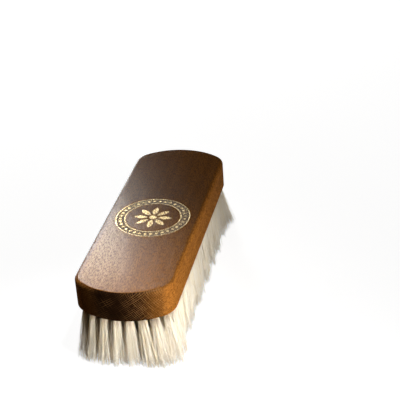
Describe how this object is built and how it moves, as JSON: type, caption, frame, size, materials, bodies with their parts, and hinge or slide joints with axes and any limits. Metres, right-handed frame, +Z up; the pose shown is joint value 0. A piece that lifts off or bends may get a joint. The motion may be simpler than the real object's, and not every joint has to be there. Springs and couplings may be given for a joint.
{
  "type": "clothes brush",
  "caption": "Hand brush with a rounded wooden back, pale hair tufts set in drilled holes and held by wire anchors, and a stamped foil rosette on top.",
  "frame": {"origin": "on the surface that the brush stands on, under the middle of the wood, level with the cut tips of the hair", "axes": "+X along the length towards the rear end, +Y to the left side, +Z up through the hair and the wood"},
  "size_m": [0.1772, 0.057, 0.049],
  "materials": {
    "stained_beech": "satin",
    "pale_hair": "satin",
    "anchor_wire": "satin",
    "gold_foil": "satin",
    "brown_foil": "satin"
  },
  "bodies": {
    "root": {"wooden_back": "stained_beech", "outer_tufts_front_left": "pale_hair", "outer_tufts_front_right": "pale_hair", "outer_tufts_rear_left": "pale_hair", "outer_tufts_rear_right": "pale_hair", "middle_tufts_front_left": "pale_hair", "middle_tufts_front_right": "pale_hair", "middle_tufts_rear_left": "pale_hair", "middle_tufts_rear_right": "pale_hair", "inner_tufts_front_left": "pale_hair", "inner_tufts_front_right": "pale_hair", "inner_tufts_rear_left": "pale_hair", "inner_tufts_rear_right": "pale_hair", "centre_tufts_front": "pale_hair", "centre_tufts_rear": "pale_hair", "outer_anchors": "anchor_wire", "middle_anchors": "anchor_wire", "inner_anchors": "anchor_wire", "centre_anchors": "anchor_wire", "foil_band": "brown_foil", "foil_lines": "gold_foil", "foil_beads": "gold_foil", "foil_rosette": "gold_foil"}
  },
  "joints": []
}
